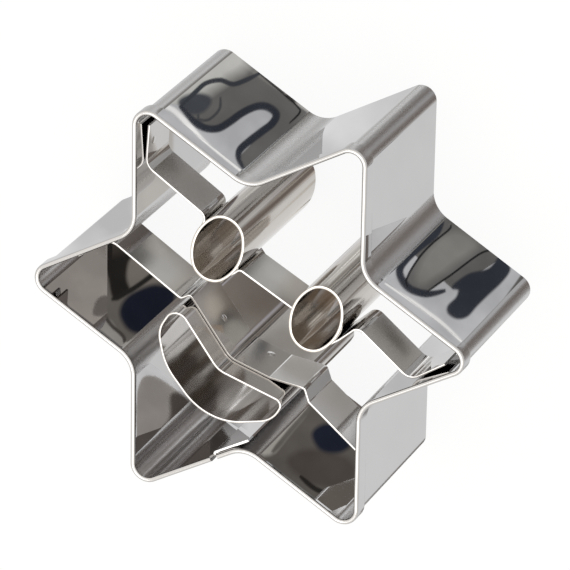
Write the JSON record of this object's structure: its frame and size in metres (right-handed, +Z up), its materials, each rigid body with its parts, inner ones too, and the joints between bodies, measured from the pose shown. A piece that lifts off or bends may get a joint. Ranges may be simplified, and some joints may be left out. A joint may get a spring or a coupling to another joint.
{
  "type": "cookie cutter",
  "caption": "Six-pointed star cookie cutter bent from thin steel strip, with a rolled top rim, oval eye tubes and a smiling mouth loop held by two cross strips.",
  "frame": {"origin": "middle of the star at the level of the cutting edge", "axes": "+Z up from the cutting edge to the rolled rim, +Y towards one of the six tips, +X across the star"},
  "size_m": [0.0544, 0.062, 0.025],
  "materials": {
    "band_steel": "bright polished stainless steel sheet",
    "eye_steel": "polished stainless steel sheet",
    "mouth_steel": "polished stainless steel sheet",
    "strip_steel": "bright rolled stainless steel sheet"
  },
  "bodies": {
    "root": {"outer_band": "band_steel", "left_eye_tube": "eye_steel", "right_eye_tube": "eye_steel", "mouth_loop": "mouth_steel", "mouth_strip": "strip_steel", "eye_strip": "strip_steel"}
  },
  "joints": []
}
